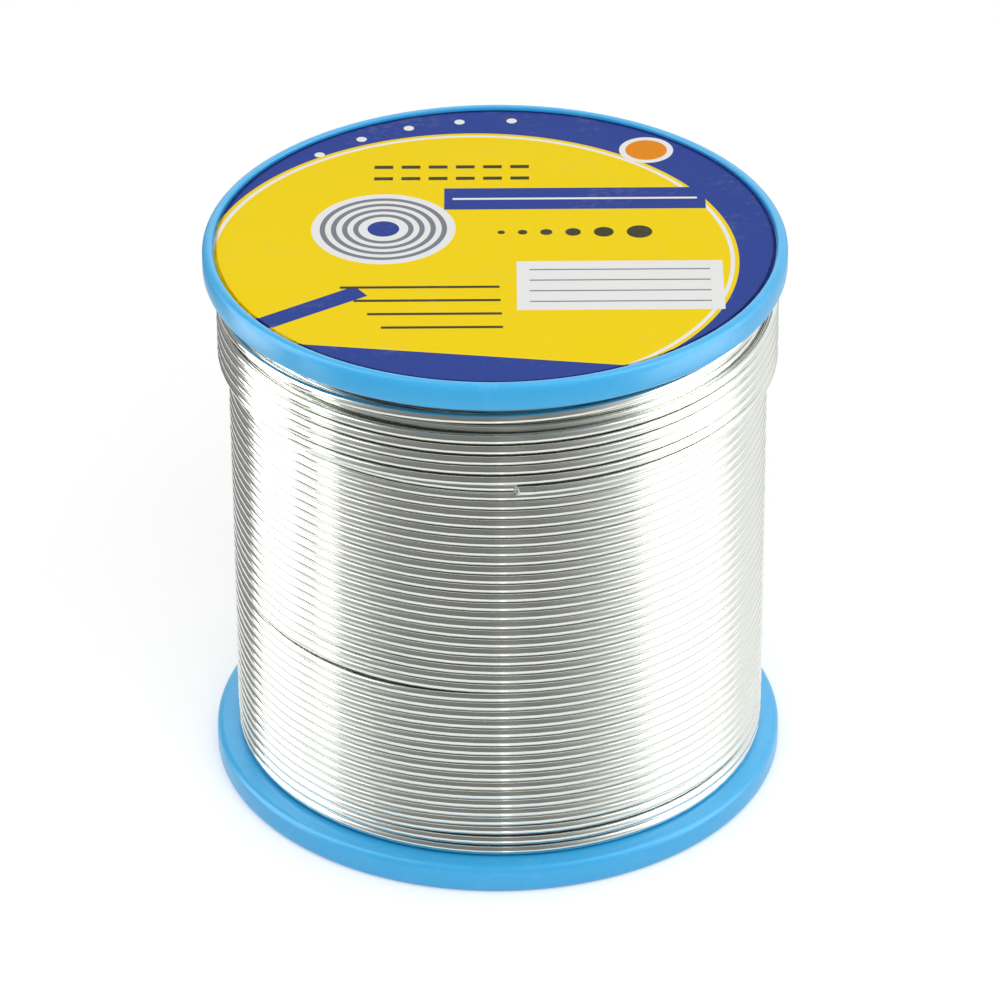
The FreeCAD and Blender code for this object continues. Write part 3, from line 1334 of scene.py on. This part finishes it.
    def start_tail(self) -> None:
        """Lead the wire's start through the hole in the barrel and up inside the hub."""
        _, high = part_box("wire_start_tail")
        mould = self.mould
        height = mould.rim_height + mould.start_hole_rise
        bend = self.start_bend
        upright = (mould.barrel_inner_radius + mould.bore_tube_radius) / 2
        outline = [Vector((mould.barrel_radius + self.start_lead, 0, height))]
        corner = Vector((upright + bend, 0, height + bend))
        for step in range(self.bend_steps + 1):
            angle = math.radians(-90 - 90 * step / self.bend_steps)
            outline.append(corner + Vector((math.cos(angle), 0, math.sin(angle))) * bend)
        outline.append(Vector((upright, 0, high.z)))
        points = [turned(place, mould.start_hole_direction) for place in outline]
        self.tube("start_tail", points, "wire_start_tail")

    def build(self, rosin: bpy.types.Material) -> None:
        """Make all of the wire.

        Args:
            rosin: The flux's finish.
        """
        self.inner_layers()
        self.outer_winding()
        self.cut_end(rosin)
        self.start_tail()


class PhotoCamera:
    """The camera, as fitted to both flanges in the photograph."""

    frame_px = 1000.0
    focal_px = 6283.0
    sensor_mm = 36.0
    clip = (10 * MM, 10.0)
    distance = 603.8 * MM
    elevation = math.radians(31.294)
    roll = math.radians(-0.345)
    spool_middle_px = (496.46, 492.13)

    def build(self, target: Vector) -> None:
        """Place the camera.

        Args:
            target: The spool's middle.
        """
        data = bpy.data.cameras.new("photo_camera")
        data.sensor_width = self.sensor_mm
        data.lens = self.sensor_mm * self.focal_px / self.frame_px
        data.clip_start, data.clip_end = self.clip
        camera = add_object("photo_camera", data)
        centre = self.frame_px / 2
        aside, down = [math.atan((pixel - centre) / self.focal_px) for pixel in self.spool_middle_px]
        view = Matrix.Rotation(math.pi / 2 - self.elevation, 4, "X") @ Matrix.Rotation(self.roll, 4, "Z")
        view = view @ Matrix.Rotation(down, 4, "X") @ Matrix.Rotation(aside, 4, "Y")
        back = Vector((0, -math.cos(self.elevation), math.sin(self.elevation)))
        camera.matrix_world = Matrix.Translation(target + back * self.distance) @ view
        bpy.context.scene.camera = camera
        bpy.context.scene.view_settings.view_transform = "Standard"


@dataclass(frozen=True)
class Softbox:
    """A large soft lamp. Directions are degrees round the spool, counted from the camera's side."""

    name: str
    bearing: float
    rise: float
    distance: float
    width: float
    height: float
    radiance: float

    def build(self, target: Vector) -> None:
        """Place the lamp, facing the spool.

        Args:
            target: The point that it faces.
        """
        data = bpy.data.lights.new(self.name, "AREA")
        data.shape = "RECTANGLE"
        data.size = self.width
        data.size_y = self.height
        data.energy = self.radiance * math.pi * self.width * self.height
        lamp = add_object(self.name, data)
        bearing = math.radians(self.bearing)
        rise = math.radians(self.rise)
        level = math.cos(rise)
        away = Vector((math.sin(bearing) * level, -math.cos(bearing) * level, math.sin(rise)))
        lamp.location = target + away * self.distance
        lamp.rotation_mode = "QUATERNION"
        lamp.rotation_quaternion = away.to_track_quat("Z", "Y")
        lamp.visible_camera = False
        lamp.visible_glossy = False


class PaintedReflectionTent:
    """A round glowing tent, with more of it on the floor, which only mirroring surfaces see: painted
    reflections of bright lamps and a grey room, which light nothing and cast no shadow.

    The tones are given by direction, in degrees from the camera's side towards the right.
    """

    radius = 1.0
    opening = 105 * MM
    reflection_sheet_height = 0.2 * MM
    peak = 4.0
    # Painted reflection of a brighter band overhead, which fades in between these two rises.
    overhead_tone = 0.24
    overhead_rise = (math.radians(18), math.radians(30))
    # A small glowing card in front of the spool, seen only in reflections: a painted glint on each turn of
    # the wire.
    glint_tones = ((-180, 2.2), (180, 2.2))
    glint_size = (1.4, 18.0, 1.0)
    glint_place = (1.2 * MM, -40 * MM, 0.4 * MM)
    dome_reflection_tones = (
        # Painted reflections round the spool: bright bands in place of the side lamps, which mirrors don't
        # see, and grey elsewhere.
        (-180, 1.6), (-164, 1.4), (-150, 0.45), (-126, 0.32), (-119, 0.32), (-116, 4.0), (-80, 4.0),
        (-74, 1.5), (-66, 0.62), (-54, 0.38), (-42, 0.27), (-4, 0.22), (1, 0.29), (9, 0.29), (14, 0.24),
        (30, 0.32), (42, 0.50), (54, 0.76), (62, 1.3), (70, 4.0), (102, 4.0), (107, 1.5), (118, 1.1),
        (140, 1.0), (164, 1.4), (180, 1.6),
    )
    # Painted reflections on the floor beyond the opening: grey shade, with bright bands beside the spool.
    floor_reflection_tones = (
        (-180, 0.30), (-111, 0.20), (-108, 4.0), (-85.5, 4.0), (-83.5, 0.16), (-72.5, 0.16), (-71, 4.0),
        (-66, 4.0), (-63, 0.60), (-52, 0.34), (-40, 0.25), (-4, 0.20), (2, 0.25), (8, 0.25), (14, 0.22),
        (30, 0.34), (40, 0.54), (48, 0.90), (54, 1.6), (58, 4.0), (90, 4.0), (94, 1.6), (104, 0.9),
        (122, 0.9), (180, 0.30),
    )

    def cloth(self, name: str, tones: Stations) -> bpy.types.Material:
        """Make the glowing material of the tent's painted reflections.

        Args:
            name: The material's name.
            tones: Direction and tone of each stop.

        Returns:
            A glowing material whose brightness goes round with the direction.
        """
        finish = Finish(name)
        place = finish.place()
        facing = finish.value("ShaderNodeMapping", {"Vector": place, "Rotation": (0, 0, math.pi / 2)})
        gradient = finish.add("ShaderNodeTexGradient", {"Vector": facing}, gradient_type="RADIAL")
        ramp = finish.add("ShaderNodeValToRGB", {"Fac": gradient.outputs[1]})
        stops = ramp.color_ramp.elements
        while len(stops) < len(tones):
            stops.new(0.5)
        for stop, (bearing, _) in zip(stops, tones):
            stop.position = 0.5 + bearing / 360
        for stop, (_, tone) in zip(stops, tones):
            stop.color = (tone / self.peak,) * 3 + (1.0,)
        low, high = [self.radius * math.sin(rise) for rise in self.overhead_rise]
        height = finish.add("ShaderNodeSeparateXYZ", {"Vector": place}).outputs["Z"]
        overhead = finish.value("ShaderNodeMapRange", {"Value": height, "From Min": low, "From Max": high})
        above = (self.overhead_tone / self.peak,) * 3 + (1.0,)
        colour = finish.mix(overhead, ramp.outputs[0], above, "LIGHTEN")
        return finish.glow(finish.value("ShaderNodeEmission", {"Color": colour, "Strength": self.peak}))

    def hang(self, work: Workpiece, name: str, tones: Stations) -> None:
        """Hang a glowing sheet of painted reflection, which only mirroring surfaces see, so that it lights
        nothing and casts no shadow.

        Args:
            work: The sheet's mesh, in edit mode.
            name: Its material's name.
            tones: Direction and tone of each stop.
        """
        piece = work.done()
        piece.data.materials.append(self.cloth(name, tones))
        piece.visible_camera = False
        piece.visible_diffuse = False
        piece.visible_transmission = False
        piece.visible_shadow = False

    def build(self) -> None:
        """Put up the tent of painted reflections, its floor ring and its glint card."""
        deselect_all()
        bpy.ops.mesh.primitive_uv_sphere_add(segments=96, ring_count=32, radius=self.radius)
        dome = Workpiece("painted_reflection_dome")
        dome.select("FACE", lambda face: face.calc_center_median().z < 0)
        bpy.ops.mesh.delete(type="FACE")
        self.hang(dome, "painted reflection dome", self.dome_reflection_tones)
        # A glowing ring on the floor that only mirroring surfaces see: painted reflection of the floor round
        # the spool.
        deselect_all()
        bpy.ops.mesh.primitive_circle_add(vertices=96, radius=self.radius)
        lying = Workpiece("painted_reflection_floor")
        bpy.ops.mesh.select_all(action="SELECT")
        bpy.ops.mesh.extrude_edges_move()
        share = self.opening / self.radius
        bpy.ops.transform.resize(value=(share, share, 1.0), center_override=ORIGIN)
        bpy.ops.mesh.select_all(action="SELECT")
        bpy.ops.transform.translate(value=(0, 0, self.reflection_sheet_height))
        self.hang(lying, "painted reflection floor", self.floor_reflection_tones)
        # The card of the painted glint.
        deselect_all()
        bpy.ops.mesh.primitive_plane_add(size=1.0 * MM)
        glint = Workpiece("painted_glint_card")
        bpy.ops.mesh.select_all(action="SELECT")
        bpy.ops.transform.resize(value=self.glint_size)
        bpy.ops.transform.translate(value=self.glint_place)
        self.hang(glint, "painted glint card", self.glint_tones)


class Studio:
    """A white floor, soft lamps, and the glowing tent of painted reflections that the bright wire mirrors."""

    floor_size = 6.0
    floor_tone = 0.80
    floor_fill = 0.36
    far_floor = (0.16, 0.42)
    world_strength = 0.50
    softboxes = (
        Softbox("left_softbox", -100.0, 28.0, 0.62, 0.50, 0.80, 0.34),
        Softbox("right_softbox", 104.0, 28.0, 0.62, 0.62, 0.80, 0.56),
        Softbox("front_softbox", 8.0, 50.0, 0.70, 0.70, 0.50, 2.05),
    )

    def build_world(self) -> None:
        """Light the scene evenly from all round, before a white background."""
        world = bpy.data.worlds.new("white_studio")
        bpy.context.scene.world = world
        world.use_nodes = True
        sky = Graph(world.node_tree)
        background = world.node_tree.nodes["Background"]
        background.inputs["Color"].default_value = (1, 1, 1, 1)
        sky.feed(background.inputs["Strength"], sky.spread(sky.seen_share(), self.world_strength, 1.0))

    def build_floor(self) -> None:
        """Lay the floor, which is white to the camera and in reflections, and keeps the spool's shadow."""
        deselect_all()
        bpy.ops.mesh.primitive_plane_add(size=self.floor_size)
        floor = bpy.context.object
        floor.name = "floor"
        finish = Finish("white floor")
        finish.set(Base_Color=(self.floor_tone,) * 3 + (1.0,), Roughness=0.9, Specular_IOR_Level=0.0)
        distance = finish.add("ShaderNodeVectorMath", {0: finish.place()}, operation="LENGTH").outputs
        start, end = self.far_floor
        reach = {"Value": distance["Value"], "From Min": start, "From Max": end, "To Min": self.floor_fill}
        even = finish.value("ShaderNodeMapRange", reach, interpolation_type="SMOOTHSTEP")
        strength = finish.math("MULTIPLY", finish.seen_share(), even)
        fill = finish.value("ShaderNodeEmission", {"Color": (1, 1, 1, 1), "Strength": strength})
        glow = finish.glow(finish.value("ShaderNodeAddShader", {0: finish.surface.outputs[0], 1: fill}))
        floor.data.materials.append(glow)

    def build(self, middle: Vector) -> None:
        """Set up the whole studio.

        Args:
            middle: Middle of the spool.
        """
        self.build_world()
        self.build_floor()
        PaintedReflectionTent().build()
        for softbox in self.softboxes:
            softbox.build(middle)


def main() -> None:
    """Build the spool, its wire and its label, and the studio round them."""
    logging.basicConfig(level=logging.INFO, format="%(name)s: %(message)s")
    effects = SharedEffects.build()
    mould = MouldSizes.from_frame()
    core_low, core_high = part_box("wound_wire_core")
    middle = Vector((0, 0, mould.overall_height / 2))
    PhotoCamera().build(middle)
    SpoolMouldings(mould).build(SpoolPlastic().build(effects))
    Label().build(LabelPrint().build(effects))
    path = WirePath(low=core_low.z, high=core_high.z)
    SolderWire(path, mould, SolderAlloy().build(effects)).build(FluxRosin().build(effects))
    Studio().build(middle)


if __name__ == "__main__":
    main()
